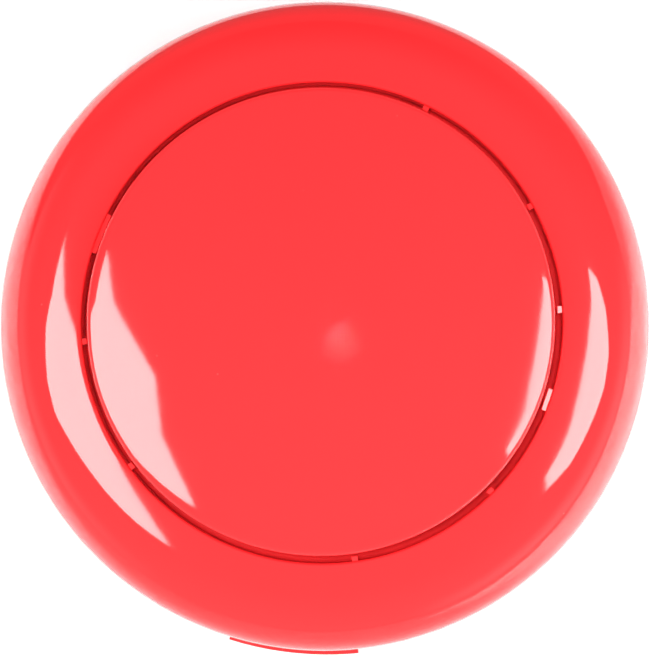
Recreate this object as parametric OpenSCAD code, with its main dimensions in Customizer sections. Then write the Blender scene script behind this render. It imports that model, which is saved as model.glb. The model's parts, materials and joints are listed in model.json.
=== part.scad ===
// Round tabletop quiz buzzer. A glossy doughnut-shaped housing holds a large, shallow-domed push
// button on three springs. Pressing it closes a silicone dome switch on the circuit board below,
// which sounds the speaker over the grille in the base. Two AAA cells sit behind a screwed door.
// Millimetres. Origin at the centre of the base, on the surface that the feet stand on, +Z up.
// The front of the buzzer faces -Y.

/* [Housing] */
// Widest diameter of the housing
outer_d = 89; // [88:0.5:92]
// Diameter of the round opening that the button sits in
opening_d = 65; // [64:0.5:66]
// Height of the opening's edge above the table
rim_z = 28; // [28:0.5:31]
// How steeply the top of the ring already falls outwards at the opening, in degrees
rim_slope = 9.4; // [8:0.2:11]
// Radius of the rounded shoulder, from the top of the ring round to the widest line
shoulder_r = 9.6; // [9:0.2:10]
// Wall thickness of both housings
wall = 2; // [1.6:0.1:2.2]
// Height of the joint between the upper and the lower housing
parting_z = 9; // [8.5:0.1:9.4]
// How far the rubber feet stand out of the base
foot_stand = 1.2; // [0.8:0.1:1.6]

/* [Button] */
// Gap all round between the button and the housing
button_gap = 0.95; // [0.9:0.05:1.1]
// Height of the button's edge above the opening's edge
button_rise = 3.5; // [3:0.1:4]
// Height of the crown above the button's edge
crown_rise = 3.5; // [2.5:0.1:4.5]
// How far the button goes down
button_travel = 2.5; // [1.5:0.1:2.5]
// Radius of the rounded edge of the button
button_edge_r = 0.8; // [0.5:0.1:1.2]

/* [Power] */
// Diameter of an AAA cell
cell_d = 10.5; // [10.4:0.1:10.5]
// Length of an AAA cell over its positive nub
cell_len = 44.5; // [44:0.1:44.5]

/* [Sound] */
// Diameter of the speaker
speaker_d = 29; // [28:0.5:29]
// Diameter of each hole in the speaker grille
grille_hole_d = 2; // [1.6:0.1:2.4]

/* [Hidden] */
$fn = 96;

shiny_red = "#f5393c";
steel = "silver";
nickel = "gainsboro";

// Housing levels and radii
outer_r = outer_d / 2;
opening_r = opening_d / 2;
joint_gap = 0.25;
base_edge_r = 2;
floor_z = foot_stand + wall;

// The outside is three arcs that meet smoothly: the nearly flat top of the ring, its round shoulder,
// and the long slow curve of the side. Each is centred on the point given here, in the half plane.
top_r = 110;
side_curve_r = 120;
top_centre = [opening_r - top_r * sin(rim_slope), rim_z - top_r * cos(rim_slope)];
shoulder_x = outer_r - shoulder_r;
widest_z = top_centre[1] + sqrt(pow(top_r - shoulder_r, 2) - pow(shoulder_x - top_centre[0], 2));
shoulder_centre = [shoulder_x, widest_z];
side_centre = [outer_r - side_curve_r, widest_z];
rim_edge_r = 0.6;
well_z = 22;
well_floor_t = 1.6;
well_under_z = well_z - well_floor_t;
well_wall = 1.8;
tongue_t = 1;
tongue_h = 1.8;
tongue_clear = 0.1;

// Narrow guide ribs on the wall of the well: where each stands, in degrees, and its width
rib_list = [[64, 0.8], [29, 0.8], [3, 0.9], [-19, 3], [-45, 0.9], [-82, 0.8],
            [-143, 0.9], [-175.5, 0.8], [158, 5.6]];
rib_drop = 0.8;
rib_clear = 0.25;

// Two short lips on opposite sides of the lower housing, to prise the halves apart
lip_centres = [-96, 84];
lip_angle = 23;
lip_r = outer_r + 0.75;

// Button
button_r = opening_r - button_gap;
button_edge_z = rim_z + button_rise;
crown_z = button_edge_z + crown_rise;
crown_r = (pow(button_r, 2) + pow(crown_rise, 2)) / (2 * crown_rise);
skirt_clear = 0.4;
skirt_z = well_z + button_travel + skirt_clear;
skirt_t = 2;

// Three snap hooks hold the button in, midway between the three springs
hook_angles = [30, 150, 270];
hook_r = 27;
hook_t = 1.6;
hook_w = 6;
hook_barb = 1.2;
hook_barb_h = 1.4;
hook_play = 0.1;

spring_angles = [90, 210, 330];
spring_ring_r = 20;
spring_r = 3;
spring_wire_r = 0.25;
spring_turns = 6;
spring_seat_z = rim_z + 1.5;

// Circuit board, hung on three posts under the floor of the well
board_r = 23.5;
board_t = 1.2;
board_top_z = 18.2;
board_z = board_top_z - board_t;
board_post_ring_r = 19.5;
board_post_r = 2.6;
board_screw_r = 0.95;
board_screw_head = [1.9, 1];
board_screw_len = 4.6;

// Silicone dome and its carbon pill, held on the board by a collar under the well
dome_flange_r = 7;
dome_flange_t = 0.8;
dome_top_z = 23.55;
dome_window_r = 6.2;
dome_collar_r = 8.4;
pill_r = 2.5;
pill_t = 0.8;
pill_z = board_top_z + button_travel + 0.1;
post_gap = 0.05;

// Three screws from below hold the housings together
case_boss_angles = [30, 150, 270];
case_boss_ring_r = 36.25;
case_boss_r = 3.2;
case_boss_split_z = 9.45;
case_screw_r = 1.5;
case_screw_seat_z = 5.6;
case_screw_head_r = 2.8;
case_screw_len = 13.5;

// Battery bay, which opens downwards
bay_x = 26;
bay_back_y = -5.1;
bay_front_y = -27.6;
bay_wall = 1.8;
bay_ceiling_z = 14.2;
bay_ceiling_t = 1.4;
bay_ledge = 0.8;
cell_r = cell_d / 2;
cell_z = 8.65;
cell_side_gap = 0.4;
cell_ys = [bay_back_y - cell_side_gap - cell_r, bay_front_y + cell_side_gap + cell_r];
cell_nub_r = 1.9;
cell_nub_h = 0.8;
cell_end_x = 25.1;
contact_t = 0.4;

// Battery door, hinged on its front lower edge by two tabs
door_gap = 0.15;
door_t = 1.8;
door_front_y = bay_front_y - bay_ledge + door_gap;
door_back_y = bay_back_y + bay_ledge - door_gap;
door_x = bay_x + bay_ledge - door_gap;
door_screw_y = -1.6;
door_ear_r = 4;
door_screw_r = 1.2;
tab_x = 15;
tab_w = 6;
tab_reach = 1.95;
tab_t = 1.2;

// Speaker, face down over the grille
speaker_y = 19.5;
speaker_r = speaker_d / 2;
gasket_t = 0.8;
speaker_z = floor_z + gasket_t;
speaker_flange_t = 0.7;
cradle_r = speaker_r + 0.3;
cradle_t = 1.4;
retainer_z = speaker_z + speaker_flange_t + 0.05;
retainer_t = 1.2;
retainer_screw_x = 19;
grille_rings = [[0, 1], [4, 6], [8, 12]];

// Rubber feet, set in shallow pockets
foot_angles = [-62, 62, 118, -118];
foot_ring_r = 37.2;
foot_r = 3.5;
foot_pocket = 0.8;

// Routes of the insulated wires, from the contact or the speaker up to the board
wire_r = 0.5;
positive_route = [[26.7, -10.75, 16.3], [27.2, -9, 16.4], [26.8, -6, 16.4], [25.2, -3.4, 16.2],
                  [22.4, -1.7, 15.2], [18, -1.2, 14.2], [14.4, -1.4, 14.6], [12.6, -1.4, 15.6],
                  [12.6, -1.4, 16.95]];
negative_route = [[26.7, -21.95, 16.2], [28.2, -21, 16.4], [30, -18, 16.4], [31, -12, 16.2],
                  [30, -5, 15], [26, 0, 12.6], [19, 0.4, 11.8], [12, -0.4, 12.2],
                  [8.4, -1.2, 14], [7.8, -1.4, 15.6], [7.8, -1.4, 16.95]];
speaker_route = [[2.2, 9.4, 10], [2.3, 8.4, 10.9], [2.8, 6.6, 11.6], [3.4, 4.8, 12.6],
                 [3.7, 3.8, 14.4], [3.8, 3.7, 15.7], [3.8, 3.7, 16.95]];

// ---- helpers ----

// Points on an arc in n steps between two directions, in degrees from +Z towards +X
function arc(centre, r, from, to, n) =
    [for (i = [0 : n]) let (a = from + (to - from) * i / n) centre + r * [sin(a), cos(a)]];
function after_first(points) = [for (i = [1 : len(points) - 1]) points[i]];
// Part of vector v that is square to the unit vector t, as a unit vector
function square_to(t, v) = let (w = v - t * (v * t)) w / norm(w);
// Direction of a route at its point i
function heading(p, i) = let (d = p[min(i + 1, len(p) - 1)] - p[max(i - 1, 0)]) d / norm(d);
// A side direction at every point, carried along the route without twisting
function side_vectors(p, first) =
    [for (i = 0, u = square_to(heading(p, 0), first); i < len(p);
          i = i + 1, u = square_to(heading(p, min(i, len(p) - 1)), u)) u];
// Catmull-Rom curve through the route's points, with n steps between neighbours
function curve_point(a, b, c, d, t) =
    0.5 * (2 * b + (c - a) * t + (2 * a - 5 * b + 4 * c - d) * t * t + (3 * b - a - 3 * c + d) * t * t * t);
function rounded(p, n) = concat([for (i = [0 : len(p) - 2]) for (s = [0 : n - 1])
    curve_point(p[max(i - 1, 0)], p[i], p[i + 1], p[min(i + 2, len(p) - 1)], s / n)], [p[len(p) - 1]]);
// Points of a coil about +Z, from z = 0 to z = h, with closed end turns
function coil(r1, r2, h, turns, per_turn) =
    [for (i = [0 : turns * per_turn]) let (t = i / (turns * per_turn), r = r1 + (r2 - r1) * t,
        a = 360 * i / per_turn, rise = 0.5 - 0.5 * cos(180 * t))
        [r * cos(a), r * sin(a), h * (0.5 * t + 0.5 * rise)]];

// A round wire along the points p
module wire(p, r, sides = 8, first = [1, 0, 0]) {
    u = side_vectors(p, first);
    last = (len(p) - 1) * sides;
    ring_points = [for (i = [0 : len(p) - 1]) let (v = cross(heading(p, i), u[i]))
        for (k = [0 : sides - 1]) p[i] + r * (cos(360 * k / sides) * u[i] + sin(360 * k / sides) * v)];
    skin = [for (i = [0 : len(p) - 2]) for (k = [0 : sides - 1])
        let (a = i * sides + k, b = i * sides + (k + 1) % sides)
        each [[a, a + sides, b + sides], [a, b + sides, b]]];
    polyhedron(ring_points, concat([[for (k = [0 : sides - 1]) k]],
        [[for (k = [sides - 1 : -1 : 0]) last + k]], skin));
}

module ring_tube(inner, outer, h) {
    difference() {
        cylinder(r = outer, h = h);
        translate([0, 0, -1]) cylinder(r = inner, h = h + 2);
    }
}

// A screw that stands on its head at z = 0 and points up, with a cross recess below
module screw(head_r, head_h, shank_r, length) {
    tip_h = shank_r;
    recess = head_r * 0.28;
    difference() {
        union() {
            cylinder(r = head_r, h = head_h);
            cylinder(r = shank_r, h = length - tip_h);
            translate([0, 0, length - tip_h]) cylinder(r1 = shank_r, r2 = shank_r * 0.4, h = tip_h);
        }
        for (a = [0, 90]) rotate(a)
            translate([-head_r * 0.62, -recess / 2, -0.1])
                cube([head_r * 1.24, recess, head_h * 0.6 + 0.1]);
    }
}

module board_screw() {
    screw(board_screw_head[0], board_screw_head[1], board_screw_r, board_screw_len);
}

module at_angles(angles, r, z = 0) {
    for (a = angles) rotate(a) translate([r, 0, z]) children();
}

// ---- upper housing ----

// Radius of the outside at height z on the side, below the widest line
function side_r(z) = side_centre[0] + sqrt(pow(side_curve_r, 2) - pow(widest_z - z, 2));

// Outline of both housings in the half plane, moved inwards by inset and cut off at bottom
module housing_outline(inset, bottom) {
    fall = asin((widest_z - bottom) / (side_curve_r - inset));
    meet = atan2(shoulder_centre[0] - top_centre[0], shoulder_centre[1] - top_centre[1]);
    side = arc(side_centre, side_curve_r - inset, 90 + fall, 90, 6);
    shoulder = arc(shoulder_centre, shoulder_r - inset, 90, meet, 30);
    top = arc(top_centre, top_r - inset, meet, rim_slope, 2);
    polygon(concat([[0, bottom]], side, after_first(shoulder), after_first(top), [[0, top[2][1]]]));
}

// What rounding the opening's edge takes off
module rim_edge_cut() {
    edge_x = opening_r + rim_edge_r;
    edge_z = top_centre[1] + sqrt(pow(top_r - rim_edge_r, 2) - pow(edge_x - top_centre[0], 2));
    centre = [edge_x, edge_z];
    outwards = (centre - top_centre) / norm(centre - top_centre);
    difference() {
        polygon([centre, centre + 2 * rim_edge_r * outwards, [opening_r - 1, edge_z + 2 * rim_edge_r],
                 [opening_r - 1, edge_z]]);
        translate(centre) circle(rim_edge_r);
    }
}

module upper_shell_outline() {
    joint_z = parting_z + joint_gap;
    difference() {
        union() {
            difference() {
                housing_outline(0, joint_z);
                housing_outline(wall, joint_z - 1);
            }
            intersection() {
                translate([opening_r, well_under_z]) square([well_wall, rim_z - well_under_z]);
                housing_outline(0, joint_z);
            }
            translate([0, well_under_z]) square([opening_r + well_wall, well_floor_t]);
        }
        translate([0, well_z]) square([opening_r, rim_z]);
        rim_edge_cut();
    }
}

module top_housing() {
    case_boss_top = rim_z - wall - 0.3;
    cup_h = 1;
    cup_r = spring_r + 0.3;
    cup_t = 0.9;
    slot_in = 1.6;
    slot_out = 0.3;
    color(shiny_red) difference() {
        union() {
            rotate_extrude() upper_shell_outline();
            at_angles(case_boss_angles, case_boss_ring_r, case_boss_split_z)
                cylinder(r = case_boss_r, h = case_boss_top - case_boss_split_z);
            at_angles(spring_angles, spring_ring_r, well_z - 0.1)
                ring_tube(cup_r, cup_r + cup_t, cup_h + 0.1);
            at_angles(spring_angles, board_post_ring_r, board_top_z)
                cylinder(r = board_post_r, h = well_under_z - board_top_z + 0.1);
            translate([0, 0, board_top_z + dome_flange_t])
                cylinder(r = dome_collar_r, h = well_under_z - board_top_z - dome_flange_t + 0.1);
            for (rib = rib_list) rotate(rib[0])
                translate([button_r + rib_clear, -rib[1] / 2, well_z - 0.1])
                    cube([opening_r - button_r, rib[1], rim_z - rib_drop - well_z]);
        }
        translate([0, 0, board_top_z]) cylinder(r = dome_window_r, h = rim_z);
        at_angles(case_boss_angles, case_boss_ring_r, case_boss_split_z - 1)
            cylinder(r = case_screw_r + 0.05, h = 10);
        at_angles(spring_angles, board_post_ring_r, board_top_z - 1)
            cylinder(r = board_screw_r + 0.05, h = 3.8);
        for (a = hook_angles) rotate(a)
            translate([hook_r - slot_in, -hook_w / 2 - 0.5, well_under_z - 1])
                cube([slot_in + hook_t + slot_out, hook_w + 1, well_floor_t + 2]);
    }
}

// ---- lower housing ----

// What rounding the edge of the base takes off
module base_edge_cut() {
    edge_z = foot_stand + base_edge_r;
    drop = widest_z - edge_z;
    centre = [side_centre[0] + sqrt(pow(side_curve_r - base_edge_r, 2) - pow(drop, 2)), edge_z];
    outwards = (centre - side_centre) / norm(centre - side_centre);
    difference() {
        polygon([centre, centre + 2 * base_edge_r * outwards, [outer_r, foot_stand - 1],
                 [centre[0], foot_stand - 1]]);
        translate(centre) circle(base_edge_r);
    }
}

module lower_shell_outline() {
    tongue_r = side_r(parting_z) - wall - tongue_clear;
    difference() {
        housing_outline(0, foot_stand);
        housing_outline(wall, floor_z);
        translate([0, parting_z]) square(outer_r);
        base_edge_cut();
    }
    translate([tongue_r - tongue_t, floor_z]) square([tongue_t, parting_z + tongue_h - floor_z]);
}

// Outline of the battery door grown by g, with its round ear for the screw
module door_outline(g) {
    translate([-door_x - g, door_front_y - g])
        square([2 * (door_x + g), door_back_y - door_front_y + 2 * g]);
    translate([0, door_screw_y]) circle(door_ear_r + g);
    translate([-door_ear_r - g, door_back_y - 1])
        square([2 * (door_ear_r + g), door_screw_y - door_back_y + 1]);
}

module bay_walls() {
    translate([-bay_x - bay_wall, bay_front_y - bay_wall, foot_stand])
        cube([2 * (bay_x + bay_wall), bay_back_y - bay_front_y + 2 * bay_wall,
              bay_ceiling_z + bay_ceiling_t - foot_stand]);
}

module bay_hollow() {
    translate([-bay_x, bay_front_y, foot_stand - 1])
        cube([2 * bay_x, bay_back_y - bay_front_y, bay_ceiling_z - foot_stand + 1]);
    for (x = [-tab_x, tab_x])
        translate([x - tab_w / 2 - 0.4, bay_front_y - bay_wall - 1, floor_z])
            cube([tab_w + 0.8, bay_wall + 2, 3.2]);
    for (y = cell_ys)
        translate([bay_x - 0.7, y - 1.4, bay_ceiling_z - 1]) cube([0.8, 2.8, bay_ceiling_t + 2]);
}

module grille_holes() {
    translate([0, speaker_y, foot_stand - 1])
        for (ring = grille_rings) for (i = [0 : ring[1] - 1]) rotate(360 * i / ring[1])
            translate([ring[0], 0, 0]) cylinder(d = grille_hole_d, h = wall + 2);
}

// Lip that stands out of the side, with sloping faces above and below
module prising_lip() {
    rotate(-lip_angle / 2) rotate_extrude(angle = lip_angle)
        polygon([[outer_r - wall, 4.6], [lip_r, 5.6], [lip_r, 7.8], [outer_r - wall, 8.4]]);
}

module bottom_housing() {
    case_post_r = 4.2;
    head_hole_r = case_screw_head_r + 0.5;
    screw_boss_r = 2.8;
    screw_boss_top = 8.5;
    screw_lead_in_r = 1.8;
    retainer_boss_r = 2.5;
    cradle_h = retainer_z - floor_z + 0.05;
    color(shiny_red) difference() {
        union() {
            rotate_extrude() lower_shell_outline();
            bay_walls();
            at_angles(case_boss_angles, case_boss_ring_r, foot_stand)
                cylinder(r = case_post_r, h = case_boss_split_z - 0.05 - foot_stand);
            translate([0, door_screw_y, floor_z]) cylinder(r = screw_boss_r, h = screw_boss_top - floor_z);
            translate([-screw_boss_r, bay_back_y + 0.5, floor_z])
                cube([2 * screw_boss_r, door_screw_y - bay_back_y - 0.5, screw_boss_top - floor_z]);
            translate([0, speaker_y, floor_z - 0.1])
                ring_tube(cradle_r, cradle_r + cradle_t, cradle_h);
            for (x = [-retainer_screw_x, retainer_screw_x])
                translate([x, speaker_y, floor_z - 0.1]) cylinder(r = retainer_boss_r, h = cradle_h);
            for (a = lip_centres) rotate(a) prising_lip();
        }
        bay_hollow();
        translate([0, 0, foot_stand - 1]) linear_extrude(wall + 1) door_outline(door_gap);
        translate([0, door_screw_y, 0]) cylinder(r = screw_lead_in_r, h = screw_boss_top - 1);
        at_angles(case_boss_angles, case_boss_ring_r) cylinder(r = head_hole_r, h = case_screw_seat_z);
        at_angles(case_boss_angles, case_boss_ring_r) cylinder(r = case_screw_r + 0.3, h = parting_z + 5);
        for (x = [-retainer_screw_x, retainer_screw_x])
            translate([x, speaker_y, foot_stand + 0.8]) cylinder(r = board_screw_r + 0.05, h = 5);
        grille_holes();
        at_angles(foot_angles, foot_ring_r, foot_stand - 1) cylinder(r = foot_r + 0.1, h = foot_pocket + 1);
    }
}

// ---- button ----

// Half outline of the button: a crowned top with a rounded edge over a straight side
module button_outline() {
    crown_centre_z = crown_z - crown_r;
    edge_x = button_r - button_edge_r;
    edge_z = crown_centre_z + sqrt(pow(crown_r - button_edge_r, 2) - pow(edge_x, 2));
    lean = atan2(edge_x, edge_z - crown_centre_z);
    difference() {
        intersection() {
            translate([0, crown_centre_z]) circle(crown_r, $fn = 720);
            translate([0, skirt_z]) square([button_r, crown_z - skirt_z + 1]);
        }
        difference() {
            polygon([[edge_x, edge_z], [edge_x + 3 * sin(lean), edge_z + 3 * cos(lean)],
                     [button_r + 1, edge_z + 3], [button_r + 1, edge_z]]);
            translate([edge_x, edge_z]) circle(button_edge_r);
        }
    }
}

module button_hollow_outline() {
    intersection() {
        translate([0, crown_z - crown_r]) circle(crown_r - skirt_t, $fn = 720);
        translate([0, skirt_z - 1]) square([button_r - skirt_t, crown_z - skirt_z]);
    }
}

module snap_hook() {
    root_z = crown_z - 3;
    barb_top = well_under_z - hook_play;
    barb_z = barb_top - hook_barb_h;
    tip_x = hook_t + hook_barb;
    translate([hook_r, hook_w / 2, 0]) rotate([90, 0, 0]) linear_extrude(hook_w)
        polygon([[0, barb_z], [hook_t, barb_z], [tip_x, barb_top - 0.4], [tip_x, barb_top],
                 [hook_t, barb_top], [hook_t, root_z], [0, root_z]]);
}

// The hooks, spring bosses with their pins, centre post and cross ribs all run up into the crown
module button_cap() {
    boss_r = spring_r + 0.8;
    pin_r = spring_r - 2 * spring_wire_r - 0.3;
    pin_h = 2;
    post_r = 3;
    cross_rib = [14, 1.2, 10];
    cross_rib_z = 27;
    into_crown = 20;
    color(shiny_red) {
        rotate_extrude() difference() {
            button_outline();
            button_hollow_outline();
        }
        intersection() {
            union() {
                for (a = hook_angles) rotate(a) snap_hook();
                at_angles(spring_angles, spring_ring_r, spring_seat_z) cylinder(r = boss_r, h = into_crown);
                at_angles(spring_angles, spring_ring_r, spring_seat_z - pin_h)
                    cylinder(r = pin_r, h = into_crown);
                translate([0, 0, dome_top_z + post_gap]) cylinder(r = post_r, h = into_crown);
                for (a = [45, 135]) rotate(a)
                    translate([-cross_rib[0] / 2, -cross_rib[1] / 2, cross_rib_z]) cube(cross_rib);
            }
            translate([0, 0, crown_z - crown_r]) sphere(r = crown_r - skirt_t / 2, $fn = 360);
        }
    }
}

module return_spring(i) {
    color(steel) rotate(spring_angles[i - 1]) translate([spring_ring_r, 0, well_z + spring_wire_r])
        wire(coil(spring_r - spring_wire_r, spring_r - spring_wire_r,
                  spring_seat_z - well_z - 2 * spring_wire_r, spring_turns, 14), spring_wire_r, 6);
}

module switch_dome() {
    color("whitesmoke") rotate_extrude() polygon([
        [5.2, board_top_z], [dome_flange_r, board_top_z], [dome_flange_r, board_top_z + dome_flange_t],
        [5.8, board_top_z + dome_flange_t], [3.4, pill_z + pill_t + 0.4], [3.2, dome_top_z],
        [0, dome_top_z], [0, pill_z + pill_t], [2.8, pill_z + pill_t]]);
}

module carbon_pill() {
    color("dimgray") translate([0, 0, pill_z]) cylinder(r = pill_r, h = pill_t);
}

// ---- electronics ----

module circuit_board() {
    color("darkgreen") translate([0, 0, board_z]) difference() {
        cylinder(r = board_r, h = board_t);
        at_angles(spring_angles, board_post_ring_r, -1) cylinder(r = board_screw_r + 0.15, h = board_t + 2);
    }
}

// Bare chip bonded to the board under a low dome of black epoxy
module sound_chip() {
    blob_r = 4.2;
    blob_h = 1.3;
    ball_r = (blob_r * blob_r + blob_h * blob_h) / (2 * blob_h);
    color("#181818") translate([-13.2, 2, board_top_z]) intersection() {
        translate([0, 0, blob_h - ball_r]) sphere(r = ball_r);
        cylinder(r = blob_r + 1, h = blob_h + 1);
    }
}

module resistors() {
    color("dimgray") for (y = [-3, 0, 3])
        translate([11.4, y - 0.8, board_top_z]) cube([3.2, 1.6, 0.6]);
}

// Electrolytic capacitor under the board, beside the speaker
module capacitor() {
    can_r = 2.5;
    can_h = 7;
    color("navy") translate([16.5, 6, board_z - can_h]) union() {
        cylinder(r = can_r, h = can_h - 1.4);
        translate([0, 0, can_h - 1.6]) cylinder(r = can_r - 0.25, h = 0.8);
        translate([0, 0, can_h - 1]) cylinder(r = can_r, h = 1);
    }
}

module board_screws() {
    color(steel) at_angles(spring_angles, board_post_ring_r, board_z - board_screw_head[1]) board_screw();
}

// ---- speaker ----

module speaker_gasket() {
    color("#2c2c2c") translate([0, speaker_y, floor_z])
        ring_tube(speaker_r - 1.9, speaker_r - 0.1, gasket_t);
}

module speaker_frame() {
    lip = speaker_z + speaker_flange_t;
    color(nickel) translate([0, speaker_y, 0]) rotate_extrude() polygon([
        [speaker_r - 2.3, speaker_z], [speaker_r, speaker_z], [speaker_r, lip], [speaker_r - 1.7, lip],
        [8.2, lip + 4.1], [8.2, lip + 4.7], [0, lip + 4.7], [0, lip + 4], [7.5, lip + 4]]);
}

// Paper cone and dust cap, one moulding, facing the grille
module speaker_cone() {
    rim = speaker_r - 3;
    color("#3a3632") translate([0, speaker_y, speaker_z]) rotate_extrude() polygon([
        [rim, 0.1], [rim, 0.5], [4.2, 3.8], [0, 3.8], [0, 2.4], [2.2, 2.7], [3.9, 3.3], [rim - 1.2, 0.25]]);
}

module speaker_magnet() {
    color("#4b4d50") translate([0, speaker_y, speaker_z + speaker_flange_t + 4.7]) union() {
        cylinder(r = 7.8, h = 2.6);
        translate([0, 0, 2.6]) cylinder(r1 = 7.8, r2 = 7.4, h = 0.4);
    }
}

// Insulating strip with the speaker's two solder lugs
module speaker_terminals() {
    z = speaker_z + speaker_flange_t + 4.1;
    color("peru") translate([-3.5, speaker_y - 11, z]) cube([7, 2.7, 0.6]);
    color(nickel) for (x = [-2.2, 2.2]) translate([x, speaker_y - 10, z + 0.6]) cylinder(r = 0.7, h = 0.2);
}

module speaker_retainer() {
    ear_r = 2.6;
    color("black") translate([0, speaker_y, retainer_z]) linear_extrude(retainer_t) difference() {
        union() {
            circle(cradle_r + cradle_t);
            translate([-retainer_screw_x, -ear_r]) square([2 * retainer_screw_x, 2 * ear_r]);
            for (x = [-retainer_screw_x, retainer_screw_x]) translate([x, 0]) circle(ear_r);
        }
        circle(speaker_r - 1.55);
        for (x = [-retainer_screw_x, retainer_screw_x]) translate([x, 0]) circle(board_screw_r + 0.15);
    }
}

module retainer_screws() {
    color(steel) for (x = [-retainer_screw_x, retainer_screw_x])
        translate([x, speaker_y, retainer_z + retainer_t + board_screw_head[1]])
            mirror([0, 0, 1]) board_screw();
}

// ---- power ----

// An AAA cell along X with its positive nub towards +X
module battery_cell(i) {
    way = i == 1 ? 0 : 180;
    body_len = cell_len - cell_nub_h;
    color("#c98a2b") translate([0, cell_ys[i - 1], cell_z]) rotate(way)
        translate([cell_end_x - cell_len, 0, 0]) rotate([0, 90, 0]) union() {
            translate([0, 0, 0.3]) cylinder(r = cell_r, h = body_len - 0.6);
            cylinder(r = cell_r - 0.5, h = body_len);
            cylinder(r = cell_nub_r, h = cell_len);
        }
}

// Sprung end of a contact: a tapered coil along X that presses on a cell's negative end
module contact_spring(i) {
    length = cell_end_x - cell_len + bay_x - contact_t;
    wire_r = 0.2;
    way = i == 1 ? 0 : 180;
    color(nickel) translate([0, cell_ys[i - 1], cell_z]) rotate(way)
        translate([-bay_x + contact_t + wire_r + 0.02, 0, 0]) rotate([0, 90, 0])
            wire(coil(3.6, 2.2, length - 2 * wire_r - 0.04, 4, 14), wire_r, 6);
}

// Contact plate against the bay's end wall at +X, centred on y, with its solder tag up through the ceiling
module end_contact(y) {
    translate([bay_x - contact_t, y - 4.5, 4.2]) cube([contact_t, 9, 9]);
    translate([bay_x - contact_t, y - 1, 12]) cube([contact_t, 2, 4.8]);
}

// Round dimple that meets a positive nub, pressed out of a contact plate
module contact_dimple() {
    reach = bay_x - contact_t - cell_end_x;
    translate([cell_end_x + 0.01, 0, cell_z]) rotate([0, 90, 0])
        cylinder(r1 = 1.2, r2 = 2, h = reach + 0.1);
}

module positive_contact() {
    color(nickel) union() {
        end_contact(cell_ys[0]);
        translate([0, cell_ys[0], 0]) contact_dimple();
    }
}

module negative_contact() {
    color(nickel) end_contact(cell_ys[1]);
}

module bridge_contact() {
    color(nickel) union() {
        translate([-bay_x, cell_ys[1] - 4.5, 4.2]) cube([contact_t, cell_ys[0] - cell_ys[1] + 9, 9]);
        translate([0, cell_ys[1], 0]) rotate(180) contact_dimple();
    }
}

module battery_door() {
    color(shiny_red) difference() {
        union() {
            translate([0, 0, foot_stand]) linear_extrude(door_t) door_outline(0);
            for (x = [-tab_x, tab_x]) {
                translate([x - tab_w / 2, door_front_y, foot_stand + door_t - 0.1])
                    cube([tab_w, 1, floor_z + 0.15 + tab_t - foot_stand - door_t + 0.1]);
                translate([x - tab_w / 2, door_front_y - tab_reach, floor_z + 0.15])
                    cube([tab_w, tab_reach + 1, tab_t]);
            }
        }
        translate([0, door_screw_y, 0]) cylinder(r = door_screw_r + 0.2, h = 9);
        translate([0, door_screw_y, foot_stand]) cylinder(r1 = 2.45, r2 = door_screw_r + 0.2, h = 1.3);
        for (x = [-9 : 3 : 9])
            translate([x - 0.4, door_back_y - 3.4, foot_stand - 0.1]) cube([0.8, 2.2, 0.4]);
    }
}

module door_screw() {
    z = foot_stand + 0.15;
    color(steel) translate([0, door_screw_y, z]) difference() {
        union() {
            cylinder(r1 = 2.25, r2 = door_screw_r, h = 1.15);
            cylinder(r = door_screw_r, h = 4.2);
            translate([0, 0, 4.2]) cylinder(r1 = door_screw_r, r2 = 0.5, h = 0.8);
        }
        for (a = [0, 90]) rotate(a) translate([-1.3, -0.3, -0.1]) cube([2.6, 0.6, 0.8]);
    }
}

module battery_wire_positive() {
    color("red") wire(rounded(positive_route, 3), wire_r, first = [0, 0, 1]);
}

module battery_wire_negative() {
    color("black") wire(rounded(negative_route, 3), wire_r, first = [0, 0, 1]);
}

module speaker_wire(side) {
    color("royalblue") mirror([side < 0 ? 1 : 0, 0, 0]) wire(rounded(speaker_route, 3), wire_r);
}

// ---- fasteners and feet ----

module case_screws() {
    head_h = 2.1;
    color(steel) at_angles(case_boss_angles, case_boss_ring_r, case_screw_seat_z - head_h)
        screw(case_screw_head_r, head_h, case_screw_r, case_screw_len);
}

module foot(i) {
    color("#262626") rotate(foot_angles[i - 1]) translate([foot_ring_r, 0, 0]) union() {
        cylinder(r1 = foot_r - 0.3, r2 = foot_r, h = 0.3);
        translate([0, 0, 0.3]) cylinder(r = foot_r, h = foot_stand + foot_pocket - 0.3);
    }
}

top_housing();
bottom_housing();
button_cap();
return_spring(1);  // return_spring_1
return_spring(2);  // return_spring_2
return_spring(3);  // return_spring_3
switch_dome();
carbon_pill();
circuit_board();
sound_chip();
resistors();
capacitor();
board_screws();
speaker_gasket();
speaker_frame();
speaker_cone();
speaker_magnet();
speaker_terminals();
speaker_retainer();
retainer_screws();
battery_cell(1);  // battery_cell_1
battery_cell(2);  // battery_cell_2
bridge_contact();
positive_contact();
negative_contact();
contact_spring(1);  // contact_spring_1
contact_spring(2);  // contact_spring_2
battery_door();
door_screw();
battery_wire_positive();
battery_wire_negative();
speaker_wire(1);  // speaker_wire_1
speaker_wire(-1);  // speaker_wire_2
case_screws();
foot(1);  // foot_front_right
foot(2);  // foot_rear_right
foot(3);  // foot_rear_left
foot(4);  // foot_front_left
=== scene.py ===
"""Looks of a round quiz buzzer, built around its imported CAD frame."""
import json
import math

import bmesh
import bpy
from mathutils import Matrix, Vector


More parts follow.
